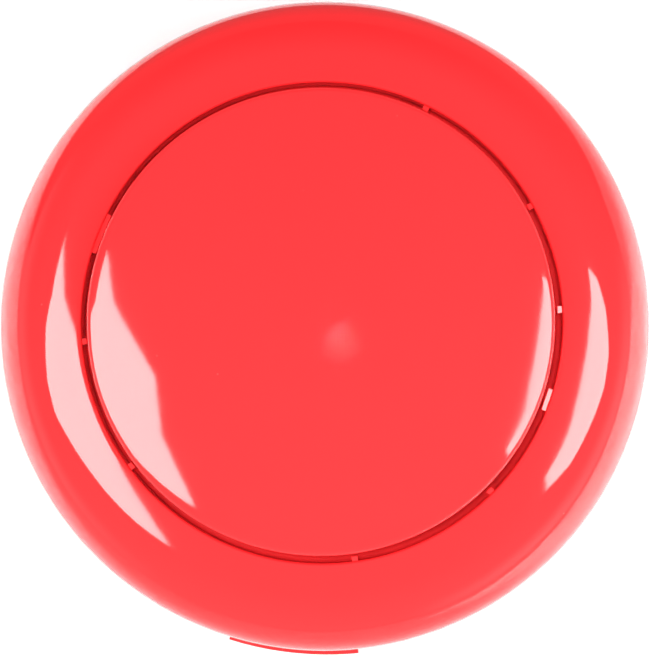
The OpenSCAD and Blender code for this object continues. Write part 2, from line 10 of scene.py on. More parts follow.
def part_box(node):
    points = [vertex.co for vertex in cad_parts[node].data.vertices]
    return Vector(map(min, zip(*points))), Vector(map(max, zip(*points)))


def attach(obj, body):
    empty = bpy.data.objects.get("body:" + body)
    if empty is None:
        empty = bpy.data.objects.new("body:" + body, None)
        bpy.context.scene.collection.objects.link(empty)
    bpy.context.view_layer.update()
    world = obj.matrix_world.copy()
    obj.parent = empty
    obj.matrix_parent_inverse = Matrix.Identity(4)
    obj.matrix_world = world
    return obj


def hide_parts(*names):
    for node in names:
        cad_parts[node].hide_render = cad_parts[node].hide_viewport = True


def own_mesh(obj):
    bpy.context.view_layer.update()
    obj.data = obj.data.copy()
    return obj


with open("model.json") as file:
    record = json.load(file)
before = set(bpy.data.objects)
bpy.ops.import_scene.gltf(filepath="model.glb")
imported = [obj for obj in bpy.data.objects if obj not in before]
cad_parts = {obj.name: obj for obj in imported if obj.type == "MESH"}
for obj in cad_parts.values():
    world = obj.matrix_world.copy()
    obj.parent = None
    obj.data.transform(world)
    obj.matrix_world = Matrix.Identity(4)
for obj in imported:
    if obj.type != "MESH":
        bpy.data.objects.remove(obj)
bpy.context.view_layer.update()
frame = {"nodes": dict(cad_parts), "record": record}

MM = 0.001
TURN = 2 * math.pi

# ---------------------------------------------------------------- sizes, in metres, from the frame

housing_low, housing_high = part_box("top_housing")
button_low, button_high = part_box("button_cap")
base_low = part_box("bottom_housing")[0]
spring_low, spring_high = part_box("return_spring_1")
dome_low, dome_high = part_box("switch_dome")
gasket_low, gasket_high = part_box("speaker_gasket")
door_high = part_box("battery_door")[1]

OUTER_R = housing_high.x
JOINT_Z = housing_low.z
BUTTON_R = button_high.x
CROWN_Z = button_high.z
HOOK_Z = button_low.z
WALL = 2 * MM
OPENING_R = BUTTON_R + 0.95 * MM

# The outside of both housings is three arcs that meet smoothly: top, shoulder and side
TOP_R = 110 * MM
SHOULDER_R = 9.6 * MM
SIDE_R = 120 * MM
RIM_SLOPE = math.radians(9.4)
RIM_EDGE_R = 0.35 * MM
RIM_EDGE = (OPENING_R + RIM_EDGE_R, housing_high.z - RIM_EDGE_R)
TOP_X = OPENING_R - TOP_R * math.sin(RIM_SLOPE)
TOP_CENTRE = (TOP_X, RIM_EDGE[1] - math.sqrt((TOP_R - RIM_EDGE_R) ** 2 - (RIM_EDGE[0] - TOP_X) ** 2))
SHOULDER_X = OUTER_R - SHOULDER_R
WIDEST_Z = TOP_CENTRE[1] + math.sqrt((TOP_R - SHOULDER_R) ** 2 - (SHOULDER_X - TOP_X) ** 2)
SHOULDER_CENTRE = (SHOULDER_X, WIDEST_Z)
SIDE_CENTRE = (OUTER_R - SIDE_R, WIDEST_Z)
SHOULDER_FROM = math.degrees(math.atan2(SHOULDER_X - TOP_X, WIDEST_Z - TOP_CENTRE[1]))

BOSS_TOP_Z = housing_high.z - 2.2 * MM
RIB_TOP_Z = housing_high.z - 0.05 * MM
WELL_Z = spring_low.z
WELL_FLOOR = 1.6 * MM
WELL_WALL = 1.8 * MM
BOARD_TOP_Z = dome_low.z
CROWN_RISE = 3.5 * MM
CROWN_R = (BUTTON_R ** 2 + CROWN_RISE ** 2) / (2 * CROWN_RISE)
BUTTON_EDGE_R = 0.8 * MM
SKIRT_Z = WELL_Z + 2.9 * MM
SKIRT_T = 2 * MM

SPRING_ANGLES = (90, 210, 330)
HOOK_ANGLES = (30, 150, 270)
SPRING_RING_R = 20 * MM
BOARD_POST_RING_R = 19.5 * MM
BOSS_RING_R = 36.25 * MM
# Where each guide rib stands round the well, in degrees, and its width in millimetres
RIBS = ((64, 0.8), (29, 0.8), (3, 0.9), (-19, 3), (-45, 0.9), (-82, 0.8), (-143, 0.9), (-175.5, 0.8),
        (158, 5.6))

# ---------------------------------------------------------------- camera and light


def look_at(obj, place, target, up=(0, 0, 1)):
    """Puts obj at place with its -Z axis on target and its Y axis as near to up as it can be."""
    back = (Vector(place) - Vector(target)).normalized()
    right = Vector(up).cross(back).normalized()
    above = back.cross(right)
    turn = Matrix((right, above, back)).transposed().to_4x4()
    obj.matrix_world = Matrix.Translation(place) @ turn


def make_camera():
    """A long lens almost straight above the buzzer, leaning a little towards its front right."""
    distance = 0.7
    lean = math.radians(3.3)
    toward = math.radians(-47)
    outline_share = 0.99145  # how much of the picture's height the outline takes
    data = bpy.data.cameras.new("Camera")
    data.sensor_fit = "VERTICAL"
    data.sensor_height = 24
    data.lens = data.sensor_height * distance * outline_share / (2 * OUTER_R)
    data.shift_x, data.shift_y = 0.00092, -0.00305
    data.clip_start = 0.01
    camera = bpy.data.objects.new("Camera", data)
    bpy.context.scene.collection.objects.link(camera)
    target = Vector((0, 0, WIDEST_Z))
    ray = Vector((math.sin(lean) * math.cos(toward), math.sin(lean) * math.sin(toward), math.cos(lean)))
    look_at(camera, target + distance * ray, target, up=(0, 1, 0))
    bpy.context.scene.camera = camera
    return camera


def panel(name, points, faces, radiance):
    """A glowing surface that the camera doesn't see. With no radiance it is black in reflections."""
    mesh = bpy.data.meshes.new(name)
    mesh.from_pydata(points, [], faces)
    sheet = bpy.data.objects.new(name, mesh)
    bpy.context.scene.collection.objects.link(sheet)
    material = bpy.data.materials.new(name)
    material.use_nodes = True
    nodes = material.node_tree.nodes
    nodes.clear()
    glow = nodes.new("ShaderNodeEmission")
    glow.inputs["Strength"].default_value = radiance
    output = nodes.new("ShaderNodeOutputMaterial")
    material.node_tree.links.new(glow.outputs["Emission"], output.inputs["Surface"])
    mesh.materials.append(material)
    sheet.visible_camera = False
    return sheet


def softbox(name, corners, radiance, height=1.0):
    """A glowing panel over the object, with its corners at (x, y) and that height above the table."""
    panel(name, [(x, y, height) for x, y in corners], [range(len(corners))], radiance)


def grey_card():
    """A low dim card that stands round the rear of the object and shows only in its reflections.

    It reaches down to the table in the middle, and less and less far towards its two ends.
    """
    radius, low, high, count = 0.062, 0.001, 0.026, 24
    middle_angle, reach_right, reach_left = 88, 65, 77
    points = []
    for k in range(count + 1):
        side = 2 * k / count - 1
        x, y = polar(middle_angle + side * (reach_left if side > 0 else reach_right), radius)
        points += [(x, y, low + (high - 0.001 - low) * abs(side) ** 1.8), (x, y, high)]
    faces = [(2 * k, 2 * k + 2, 2 * k + 3, 2 * k + 1) for k in range(count)]
    card = panel("grey_card", points, faces, 0.25)
    card.visible_diffuse = card.visible_shadow = False


def hidden_lamp(name, kind, energy):
    """A lamp that lights what it shines on, but which the camera and the reflections don't show."""
    data = bpy.data.lights.new(name, kind)
    data.energy = energy
    lamp = bpy.data.objects.new(name, data)
    bpy.context.scene.collection.objects.link(lamp)
    lamp.visible_camera = lamp.visible_glossy = False
    return lamp


def beam(name, place, size, watts):
    """A lamp that throws a narrow beam straight down, so that it lights only what is below it."""
    lamp = hidden_lamp(name, "AREA", watts)
    lamp.data.shape = "RECTANGLE"
    lamp.data.size, lamp.data.size_y = size
    lamp.data.spread = math.radians(6)
    lamp.location = place


def rear_fill():
    """A wide soft light from low behind, which colours the rear side."""
    lamp = hidden_lamp("rear_fill", "SUN", 0.5)
    lamp.data.angle = math.radians(70)
    look_at(lamp, (-0.1, 1, 0.25), (0, 0, 0))


def make_world():
    """Soft light that fades towards the rear, with a brighter horizon on the right and the left."""
    world = bpy.data.worlds.new("World")
    bpy.context.scene.world = world
    world.use_nodes = True
    sky = Graph(world.node_tree, "Generated")
    level = sky.span(sky.axis("Y"), -1, 1, 0.9, 0.1)
    low = sky.span(sky.axis("Z"), 0.15, 0.4, 1, 0)
    for way, strength in (((0.88, -0.47, 0), 1.0), ((-0.98, -0.17, 0), 0.6)):
        near = sky.span(sky.along(way), 0.68, 0.96, 0, strength)
        level = sky.maths("ADD", level, sky.maths("MULTIPLY", near, low))
    background = world.node_tree.nodes["Background"]
    background.inputs["Color"].default_value = (1, 1, 1, 1)
    sky.links.new(level, background.inputs["Strength"])


def make_studio():
    """Softboxes over the left and right, hidden lamps, soft light from all round, and a pale floor."""
    left = [(-0.545, 0.22), (-0.52, 0.09), (-0.41, -0.08), (-0.40, -0.21), (-0.33, -0.38),
            (-0.58, -0.29), (-0.95, -0.25), (-0.93, -0.13), (-0.74, 0.04), (-0.58, 0.10)]
    right = [(0.475, 0.15), (0.45, 0.0), (0.42, -0.16), (0.38, -0.25), (0.60, -0.43),
             (0.90, -0.49), (1.30, -0.25), (1.25, -0.08), (0.95, 0.11), (0.70, 0.17)]
    softbox("softbox_left", left, radiance=14)
    softbox("softbox_right", right, radiance=14)
    beam("key", place=(0, 0, 0.6), size=(0.13, 0.11), watts=0.04)
    beam("floor_light_right", place=(0.31, -0.065, 0.6), size=(0.50, 0.18), watts=1.3)
    beam("floor_light_left", place=(-0.26, 0, 0.6), size=(0.40, 0.12), watts=0.4)
    grey_card()
    rear_fill()
    make_world()
    bpy.context.scene.view_settings.view_transform = "Standard"

    mesh = bpy.data.meshes.new("floor")
    half = 3.0
    mesh.from_pydata([(-half, -half, 0), (half, -half, 0), (half, half, 0), (-half, half, 0)], [],
                     [(0, 1, 2, 3)])
    floor = bpy.data.objects.new("floor", mesh)
    bpy.context.scene.collection.objects.link(floor)
    floor.data.materials.append(floor_paint())


# ---------------------------------------------------------------- materials


class Graph:
    """Short ways to add nodes to a node tree. Its patterns are laid out in one kind of coordinates."""

    def __init__(self, tree, coordinates):
        self.nodes = tree.nodes
        self.links = tree.links
        self.place = self.nodes.new("ShaderNodeTexCoord").outputs[coordinates]

    def noise(self, scale, detail=3.0, rough=0.5, stretch=(1, 1, 1)):
        """Noise from 0 to 1 in object space; scale is its features per metre."""
        mapping = self.nodes.new("ShaderNodeMapping")
        mapping.inputs["Scale"].default_value = stretch
        self.links.new(self.place, mapping.inputs["Vector"])
        node = self.nodes.new("ShaderNodeTexNoise")
        node.inputs["Scale"].default_value = scale
        node.inputs["Detail"].default_value = detail
        node.inputs["Roughness"].default_value = rough
        self.links.new(mapping.outputs["Vector"], node.inputs["Vector"])
        return node.outputs["Fac"]

    def cells(self, scale, feature="F1"):
        node = self.nodes.new("ShaderNodeTexVoronoi")
        node.feature = feature
        node.inputs["Scale"].default_value = scale
        self.links.new(self.place, node.inputs["Vector"])
        return node.outputs["Distance"]

    def ramp(self, value, *stops):
        """A colour ramp over value; each stop is (position, (r, g, b)) or (position, grey)."""
        node = self.nodes.new("ShaderNodeValToRGB")
        ramp = node.color_ramp
        while len(ramp.elements) < len(stops):
            ramp.elements.new(0.5)
        for element, (position, colour) in zip(ramp.elements, stops):
            rgb = colour if isinstance(colour, tuple) else (colour,) * 3
            element.position = position
            element.color = (*rgb, 1)
        self.links.new(value, node.inputs["Fac"])
        return node.outputs["Color"]

    def span(self, value, low, high, out_low=0.0, out_high=1.0):
        """Maps value from low..high to out_low..out_high, clamped."""
        node = self.nodes.new("ShaderNodeMapRange")
        for key, number in zip(("From Min", "From Max", "To Min", "To Max"), (low, high, out_low, out_high)):
            node.inputs[key].default_value = number
        self.links.new(value, node.inputs["Value"])
        return node.outputs["Result"]

    def maths(self, operation, a, b=None):
        node = self.nodes.new("ShaderNodeMath")
        node.operation = operation
        for socket, value in zip(node.inputs, (a, b)):
            if isinstance(value, (int, float)):
                socket.default_value = value
            elif value is not None:
                self.links.new(value, socket)
        return node.outputs["Value"]

    def mix(self, share, a, b, blend="MIX"):
        """Mixes colours a and b, each a socket or an (r, g, b)."""
        node = self.nodes.new("ShaderNodeMix")
        node.data_type = "RGBA"
        node.blend_type = blend
        if isinstance(share, (int, float)):
            node.inputs["Factor"].default_value = share
        else:
            self.links.new(share, node.inputs["Factor"])
        colour_a, colour_b = [s for s in node.inputs if s.type == "RGBA"]
        for socket, value in ((colour_a, a), (colour_b, b)):
            if isinstance(value, tuple):
                socket.default_value = (*value, 1)
            else:
                self.links.new(value, socket)
        return [s for s in node.outputs if s.type == "RGBA"][0]

    def axis(self, name):
        """One coordinate, X, Y or Z, in metres."""
        node = self.nodes.new("ShaderNodeSeparateXYZ")
        self.links.new(self.place, node.inputs["Vector"])
        return node.outputs[name]

    def along(self, way):
        """How far a place lies along a direction."""
        node = self.nodes.new("ShaderNodeVectorMath")
        node.operation = "DOT_PRODUCT"
        self.links.new(self.place, node.inputs[0])
        node.inputs[1].default_value = way
        return node.outputs["Value"]

    def distance(self, point, flat=False):
        """Distance in metres from a point, or from the vertical line through it."""
        node = self.nodes.new("ShaderNodeVectorMath")
        node.operation = "DISTANCE"
        source = self.place
        if flat:
            squash = self.nodes.new("ShaderNodeVectorMath")
            squash.operation = "MULTIPLY"
            squash.inputs[1].default_value = (1, 1, 0)
            self.links.new(source, squash.inputs[0])
            source = squash.outputs["Vector"]
        self.links.new(source, node.inputs[0])
        node.inputs[1].default_value = point
        return node.outputs["Value"]


class Paint(Graph):
    """A node material with one Principled shader."""

    def __init__(self, name, colour, roughness, metallic=0.0, ior=1.5):
        self.material = bpy.data.materials.new(name)
        self.material.use_nodes = True
        super().__init__(self.material.node_tree, "Object")
        self.shader = self.nodes["Principled BSDF"]
        self.shader.inputs["Base Color"].default_value = (*colour, 1)
        self.shader.inputs["Roughness"].default_value = roughness
        self.shader.inputs["Metallic"].default_value = metallic
        self.shader.inputs["IOR"].default_value = ior
        self.material.diffuse_color = (*colour, 1)
        self.normal = None

    def colour(self, socket):
        self.links.new(socket, self.shader.inputs["Base Color"])

    def rough(self, socket):
        self.links.new(socket, self.shader.inputs["Roughness"])

    def bump(self, height, depth, strength=1.0):
        """Adds a bump of that depth in metres, on top of any that is there already."""
        node = self.nodes.new("ShaderNodeBump")
        node.inputs["Strength"].default_value = strength
        node.inputs["Distance"].default_value = depth
        self.links.new(height, node.inputs["Height"])
        if self.normal is not None:
            self.links.new(self.normal, node.inputs["Normal"])
        self.normal = node.outputs["Normal"]
        self.links.new(self.normal, self.shader.inputs["Normal"])
        return node


def floor_paint():
    """The pale table top, hardly mottled."""
    paint = Paint("floor_paint", (0.66, 0.66, 0.66), 0.7)
    paint.colour(paint.ramp(paint.noise(3), (0.3, 0.65), (0.7, 0.67)))
    return paint.material


def moulded_red(name, light, deep, roughness=0.045):
    """Glossy injection-moulded plastic: a faint flow of colour, a few specks, and a slight ripple."""
    paint = Paint(name, light, roughness)
    flow = paint.noise(14, 4, 0.55, (1, 1, 2.5))
    tint = paint.ramp(flow, (0.3, deep), (0.7, light))
    specks = paint.span(paint.cells(260), 0.035, 0.055, 1, 0)
    kept = paint.span(paint.noise(95, 1), 0.62, 0.66)
    paint.colour(paint.mix(paint.maths("MULTIPLY", specks, kept), tint, (0.75, 0.045, 0.045)))
    paint.rough(paint.span(paint.noise(60, 5, 0.6), 0.3, 0.75, roughness * 0.8, roughness * 1.35))
    paint.bump(paint.noise(120, 2), 0.02 * MM, 0.5)
    return paint


def button_red():
    """The button's red, with the faint mark that the moulding gate leaves in the middle."""
    paint = moulded_red("button_red", (0.68, 0.017, 0.0195), (0.66, 0.0155, 0.018))
    gate = paint.span(paint.distance((0, 0, 0), flat=True), 0.4 * MM, 5 * MM, 1, 0)
    paint.bump(paint.maths("MULTIPLY", gate, paint.noise(420, 3)), 0.012 * MM, 0.4)
    return paint.material


def matt(name, light, deep, roughness, grain, depth):
    """Plastic, rubber or card with a fine grain: grain is its features per metre, depth its relief."""
    paint = Paint(name, light, roughness)
    paint.colour(paint.ramp(paint.noise(grain / 6, 4, 0.6), (0.3, deep), (0.7, light)))
    paint.rough(paint.span(paint.noise(grain / 3, 3), 0.3, 0.7, roughness * 0.85, min(1, roughness * 1.15)))
    paint.bump(paint.noise(grain, 3), depth, 0.7)
    return paint.material


def metal(name, colour, roughness, stretch=(1, 1, 1)):
    """Metal with drawing or plating marks that run along the axis with the small stretch."""
    paint = Paint(name, colour, roughness, metallic=1)
    deep = tuple(0.75 * c for c in colour)
    marks = paint.noise(900, 4, 0.65, stretch)
    paint.colour(paint.ramp(paint.noise(160, 3), (0.25, deep), (0.65, colour)))
    paint.rough(paint.span(marks, 0.25, 0.8, roughness * 0.7, roughness * 1.5))
    paint.bump(marks, 0.01 * MM, 0.5)
    return paint.material


def laminate():
    """Green solder mask with the tracks showing through, and tinned pads."""
    paint = Paint("circuit_board", (0.02, 0.16, 0.06), 0.3)
    tracks = paint.span(paint.cells(420, "DISTANCE_TO_EDGE"), 0.05, 0.09, 1, 0)
    pads = paint.span(paint.cells(240), 0.12, 0.15, 1, 0)
    green = paint.mix(tracks, (0.012, 0.10, 0.035), (0.03, 0.22, 0.07))
    paint.colour(paint.mix(pads, green, (0.6, 0.6, 0.56)))
    paint.bump(tracks, 0.03 * MM, 0.6)
    return paint.material


def foam():
    """Black open-pored foam, with painted shade darkening the bottom of each pore."""
    paint = Paint("black_foam", (0.03, 0.03, 0.03), 0.95)
    pores = paint.cells(2600)
    # painted shade: the colour goes darker towards the bottom of each pore, where the bump sinks
    paint.colour(paint.ramp(pores, (0.1, 0.012), (0.6, 0.05)))
    paint.bump(pores, 0.15 * MM, 0.9)
    return paint.material


def silicone():
    """Milky silicone rubber, which lets a little light in."""
    paint = Paint("silicone", (0.8, 0.8, 0.77), 0.45, ior=1.41)
    paint.shader.inputs["Subsurface Weight"].default_value = 0.5
    paint.shader.inputs["Subsurface Scale"].default_value = 0.8 * MM
    paint.colour(paint.ramp(paint.noise(300, 3), (0.3, (0.72, 0.72, 0.69)), (0.7, (0.84, 0.84, 0.81))))
    paint.bump(paint.noise(1800, 2), 0.01 * MM, 0.5)
    return paint.material


def cell_film(name, way):
    """Printed film of a dry cell: dark, with a copper-coloured end by the positive nub and two thin lines.
    The copper end carries painted sheen: lighter and darker streaks along the cell.
    """
    paint = Paint(name, (0.02, 0.02, 0.022), 0.22)
    along = paint.maths("MULTIPLY", paint.axis("X"), way)
    copper_end = paint.span(along, 11.9 * MM, 12.1 * MM)
    # the copper end's colour with painted sheen: lighter and darker streaks along the cell stand in for the
    # reflections of metal foil
    shine = paint.ramp(paint.noise(700, 4, 0.6, (0.1, 1, 1)),
                       (0.3, (0.5, 0.22, 0.07)), (0.7, (0.68, 0.34, 0.12)))
    film = paint.mix(copper_end, (0.02, 0.02, 0.022), shine)
    for line_x in (10.6 * MM, -16 * MM):
        offset = paint.maths("ABSOLUTE", paint.maths("SUBTRACT", along, line_x))
        film = paint.mix(paint.span(offset, 0.25 * MM, 0.3 * MM, 1, 0), film, (0.7, 0.7, 0.68))
    paint.colour(film)
    paint.rough(paint.span(paint.noise(500, 4), 0.3, 0.7, 0.16, 0.32))
    paint.bump(paint.noise(90, 3, 0.5, (0.3, 1, 1)), 0.05 * MM, 0.4)
    return paint.material


def all_paints():
    """Every material, by the record's slot."""
    housing_red = moulded_red("housing_red", (0.68, 0.016, 0.0185), (0.66, 0.0145, 0.017))
    return {
        "shiny_red_plastic": housing_red.material,
        "button_red_plastic": button_red(),
        "spring_steel": metal("spring_steel", (0.62, 0.62, 0.64), 0.22, (1, 1, 0.2)),
        "silicone": silicone(),
        "carbon_rubber": matt("carbon_rubber", (0.05, 0.05, 0.05), (0.025, 0.025, 0.025),
                              0.85, 3000, 0.03 * MM),
        "circuit_board": laminate(),
        "black_epoxy": matt("black_epoxy", (0.02, 0.02, 0.02), (0.01, 0.01, 0.01), 0.25, 700, 0.04 * MM),
        "chip_ceramic": matt("chip_ceramic", (0.06, 0.06, 0.07), (0.03, 0.03, 0.035), 0.5, 2500, 0.01 * MM),
        "capacitor_sleeve": matt("capacitor_sleeve", (0.03, 0.05, 0.16), (0.02, 0.035, 0.12),
                                 0.3, 500, 0.02 * MM),
        "screw_steel": metal("screw_steel", (0.55, 0.55, 0.56), 0.3),
        "black_foam": foam(),
        "plated_steel": metal("plated_steel", (0.75, 0.74, 0.7), 0.18, (1, 0.15, 1)),
        "cone_paper": matt("cone_paper", (0.06, 0.054, 0.048), (0.03, 0.027, 0.024), 0.9, 2200, 0.08 * MM),
        "magnet": matt("magnet", (0.13, 0.13, 0.14), (0.08, 0.08, 0.085), 0.6, 1500, 0.03 * MM),
        "terminal_board": matt("terminal_board", (0.36, 0.2, 0.1), (0.27, 0.14, 0.06), 0.6, 1800, 0.02 * MM),
        "black_plastic": matt("black_plastic", (0.035, 0.035, 0.035), (0.02, 0.02, 0.02),
                              0.5, 1600, 0.03 * MM),
        "cell_jacket": cell_film("cell_film_1", 1),
        "wire_red": matt("wire_red", (0.6, 0.02, 0.02), (0.5, 0.015, 0.015), 0.4, 1200, 0.01 * MM),
        "wire_black": matt("wire_black", (0.025, 0.025, 0.025), (0.015, 0.015, 0.015), 0.4, 1200, 0.01 * MM),
        "wire_blue": matt("wire_blue", (0.03, 0.08, 0.45), (0.02, 0.06, 0.36), 0.4, 1200, 0.01 * MM),
        "foot_rubber": matt("foot_rubber", (0.03, 0.03, 0.03), (0.014, 0.014, 0.014), 0.8, 1400, 0.05 * MM),
    }


# ---------------------------------------------------------------- mesh helpers


def arc(centre, radius, start, end, steps):
    """Points on an arc in the half plane (r, z); angles in degrees from +Z towards +r."""
    angles = [math.radians(start + (end - start) * i / steps) for i in range(steps + 1)]
    return [(centre[0] + radius * math.sin(a), centre[1] + radius * math.cos(a)) for a in angles]


def eased(corners, steps=5):
    """Rounds the corners of an outline: each corner is (r, z, radius), and radius 0 stays as it is."""
    points = []
    for i, (r, z, radius) in enumerate(corners):
        here = Vector((r, z))
        if radius == 0:
            points.append((r, z))
            continue
        before = Vector(corners[i - 1][:2]) - here
        after = Vector(corners[(i + 1) % len(corners)][:2]) - here
        reach = min(radius, before.length * 0.45, after.length * 0.45)
        a, b = here + before.normalized() * reach, here + after.normalized() * reach
        for k in range(steps + 1):
            t = k / steps
            points.append(tuple(a * (1 - t) ** 2 + here * 2 * t * (1 - t) + b * t ** 2))
    return points


def smooth(mesh, angle=40):
    """Shades a mesh smooth, but for the edges where it turns by more than the angle in degrees."""
    mesh.shade_smooth()
    mesh.set_sharp_from_angle(angle=math.radians(angle))


def new_object(name, bm):
    """Puts a finished bmesh into the scene as an object, and frees it."""
    mesh = bpy.data.meshes.new(name)
    bmesh.ops.recalc_face_normals(bm, faces=bm.faces)
    bm.to_mesh(mesh)
    bm.free()
    obj = bpy.data.objects.new(name, mesh)
    bpy.context.scene.collection.objects.link(obj)
    smooth(mesh)
    return obj


def add_lathe(bm, outline, steps=192, centre=(0, 0), start=0, sweep=360):
    """Turns a closed outline in (r, z) about a vertical line; less than a full turn is capped."""
    whole = sweep >= 360
    count = steps if whole else steps + 1
    rings = []
    for i in range(count):
        a = math.radians(start + sweep * i / steps)
        rings.append([])
        for r, z in outline:
            if r < 1e-7 and rings[0] is not rings[-1]:
                rings[-1].append(rings[0][len(rings[-1])])
                continue
            rings[-1].append(bm.verts.new((centre[0] + r * math.cos(a), centre[1] + r * math.sin(a), z)))
    spans = count if whole else count - 1
    for i in range(spans):
        here, there = rings[i], rings[(i + 1) % count]
        for k in range(len(outline)):
            m = (k + 1) % len(outline)
            quad = [here[k], there[k], there[m], here[m]]
            corners = [v for n, v in enumerate(quad) if v not in quad[:n]]
            if len(corners) > 2:
                bm.faces.new(corners)
    if not whole:
        bm.faces.new(rings[0])
        bm.faces.new(rings[-1])


def add_box(bm, low, high, turn=0, bevel=0.12 * MM):
    """A box between two corners with eased edges, then turned about Z by turn degrees."""
    made = bmesh.ops.create_cube(bm, size=1)["verts"]
    low, high = Vector(low), Vector(high)
    for v in made:
        v.co = Vector(((v.co.x + 0.5) * (high.x - low.x) + low.x, (v.co.y + 0.5) * (high.y - low.y) + low.y,
                       (v.co.z + 0.5) * (high.z - low.z) + low.z))
    edges = list({e for v in made for e in v.link_edges})
    if bevel:
        made = bmesh.ops.bevel(bm, geom=edges, offset=bevel, segments=2, affect="EDGES",
                               clamp_overlap=True)["verts"]
    bmesh.ops.rotate(bm, verts=list({v for v in made}), cent=(0, 0, 0),
                     matrix=Matrix.Rotation(math.radians(turn), 3, "Z"))


def add_prism(bm, outline, half, turn):
    """A flat outline in (x, z), given a thickness of 2 * half along Y, then turned about Z."""
    sides = [[bm.verts.new((x, y, z)) for x, z in outline] for y in (-half, half)]
    faces = [bm.faces.new(sides[0]), bm.faces.new(sides[1][::-1])]
    for k in range(len(outline)):
        m = (k + 1) % len(outline)
        faces.append(bm.faces.new([sides[0][k], sides[1][k], sides[1][m], sides[0][m]]))
    bmesh.ops.rotate(bm, verts=sides[0] + sides[1], cent=(0, 0, 0),
                     matrix=Matrix.Rotation(math.radians(turn), 3, "Z"))


def offset(outline, distance):
    """Moves a closed outline in (x, y), counter-clockwise, outwards by distance."""
    moved = []
    for i, point in enumerate(outline):
        here = Vector(point)
        before = (here - Vector(outline[i - 1])).normalized()
        after = (Vector(outline[(i + 1) % len(outline)]) - here).normalized()
        side = (before + after).normalized()
        out = Vector((side.y, -side.x))
        moved.append(tuple(here + out * distance / max(0.4, out.dot(Vector((after.y, -after.x))))))
    return moved


def add_slab(bm, outline, low_z, high_z, ease_low=0.25 * MM, ease_high=0.2 * MM, steps=3):
    """A plate with that outline, counter-clockwise in (x, y), and rounded lower and upper edges."""
    quarter = [math.radians(90 * i / steps) for i in range(steps + 1)]
    layers = [(ease_low * (math.sin(a) - 1), low_z + ease_low * (1 - math.cos(a))) for a in quarter]
    layers += [(ease_high * (math.cos(a) - 1), high_z - ease_high * (1 - math.sin(a))) for a in quarter]
    rings = [[bm.verts.new((x, y, z)) for x, y in offset(outline, grow)] for grow, z in layers]
    bm.faces.new(rings[0][::-1])
    bm.faces.new(rings[-1])
    for lower, upper in zip(rings, rings[1:]):
        for k in range(len(outline)):
            m = (k + 1) % len(outline)
            bm.faces.new([lower[k], lower[m], upper[m], upper[k]])


def coil(r1, r2, height, turns, per_turn=24):
    """Points of a coil up from z = 0, with its end turns closed up."""
    points = []
    for i in range(turns * per_turn + 1):
        t = i / (turns * per_turn)
        r = r1 + (r2 - r1) * t
        rise = 0.5 - 0.5 * math.cos(math.pi * t)
        a = TURN * i / per_turn
        points.append(Vector((r * math.cos(a), r * math.sin(a), height * (0.5 * t + 0.5 * rise))))
    return points


def add_wire(bm, points, radius, sides=10):
    """A round wire along the points, with flat ground ends."""
    side = None
    rings = []
    for i, point in enumerate(points):
        along = (points[min(i + 1, len(points) - 1)] - points[max(i - 1, 0)]).normalized()
        side = side or Vector((1, 0, 0.1))
        side = (side - along * side.dot(along)).normalized()
        other = along.cross(side)
        rings.append([bm.verts.new(point + radius * (side * math.cos(a) + other * math.sin(a)))
                      for a in (TURN * k / sides for k in range(sides))])
    bm.faces.new(rings[0][::-1])
    bm.faces.new(rings[-1])
    for here, there in zip(rings, rings[1:]):
        for k in range(sides):
            m = (k + 1) % sides
            bm.faces.new([here[k], here[m], there[m], there[k]])


def cutter(outlines, places):
    """Turned cutters, each outline in (r, z) at each of its places, as one object."""
    bm = bmesh.new()
    for outline, spots in zip(outlines, places):
        for spot in spots:
            add_lathe(bm, outline, 40, spot)
    return new_object("cutter", bm)


def drill(radius, low_z, high_z, mouth_z, flare=0.2 * MM):
    """Outline of a drill that opens out a little where it leaves the surface at mouth_z."""
    return [(0, low_z), (radius + flare, low_z), (radius + flare, mouth_z), (radius, mouth_z + flare),
            (radius, high_z), (0, high_z)]


def join(*objects):
    """Puts the meshes of several objects into the first."""
    first = objects[0]
    bm = bmesh.new()
    for obj in objects:
        bm.from_mesh(obj.data)
    bm.to_mesh(first.data)
    bm.free()
    for obj in objects[1:]:
        bpy.data.objects.remove(obj)
    smooth(first.data)
    return first


def polar(angle, radius):
    """The point (x, y) at that angle in degrees and that distance from the middle."""
    return radius * math.cos(math.radians(angle)), radius * math.sin(math.radians(angle))


def carve(obj, cutter):
    """Cuts cutter out of obj for good, and drops cutter."""
    cut = obj.modifiers.new("cut", "BOOLEAN")
    cut.operation = "DIFFERENCE"
    cut.solver = "EXACT"
    cut.object = cutter
    bpy.context.view_layer.update()
    mesh = bpy.data.meshes.new_from_object(obj.evaluated_get(bpy.context.evaluated_depsgraph_get()))
    obj.modifiers.clear()
    obj.data = mesh
    bpy.data.objects.remove(cutter)
    smooth(mesh)


def place(obj, body, slot, material, *replaced):
    """Gives a piece its material and body, and hides the CAD nodes that it stands for. The slot is not used.
    """
    obj.data.materials.clear()
    obj.data.materials.append(material)
    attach(obj, body)
    if replaced:
        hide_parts(*replaced)
    return obj


# ---------------------------------------------------------------- upper housing


def outer_outline(inset, low_z):
    """The outside from low_z up to the opening, moved inwards by inset."""
    fall = math.degrees(math.asin((WIDEST_Z - low_z) / (SIDE_R - inset)))
    side = arc(SIDE_CENTRE, SIDE_R - inset, 90 + fall, 90, 12)
    shoulder = arc(SHOULDER_CENTRE, SHOULDER_R - inset, 90, SHOULDER_FROM, 40)
    rim = math.degrees(math.asin((RIM_EDGE[0] - TOP_X) / (TOP_R - RIM_EDGE_R)))
    top = arc(TOP_CENTRE, TOP_R - inset, SHOULDER_FROM, rim, 12)
    return side[:-1] + shoulder[:-1] + top


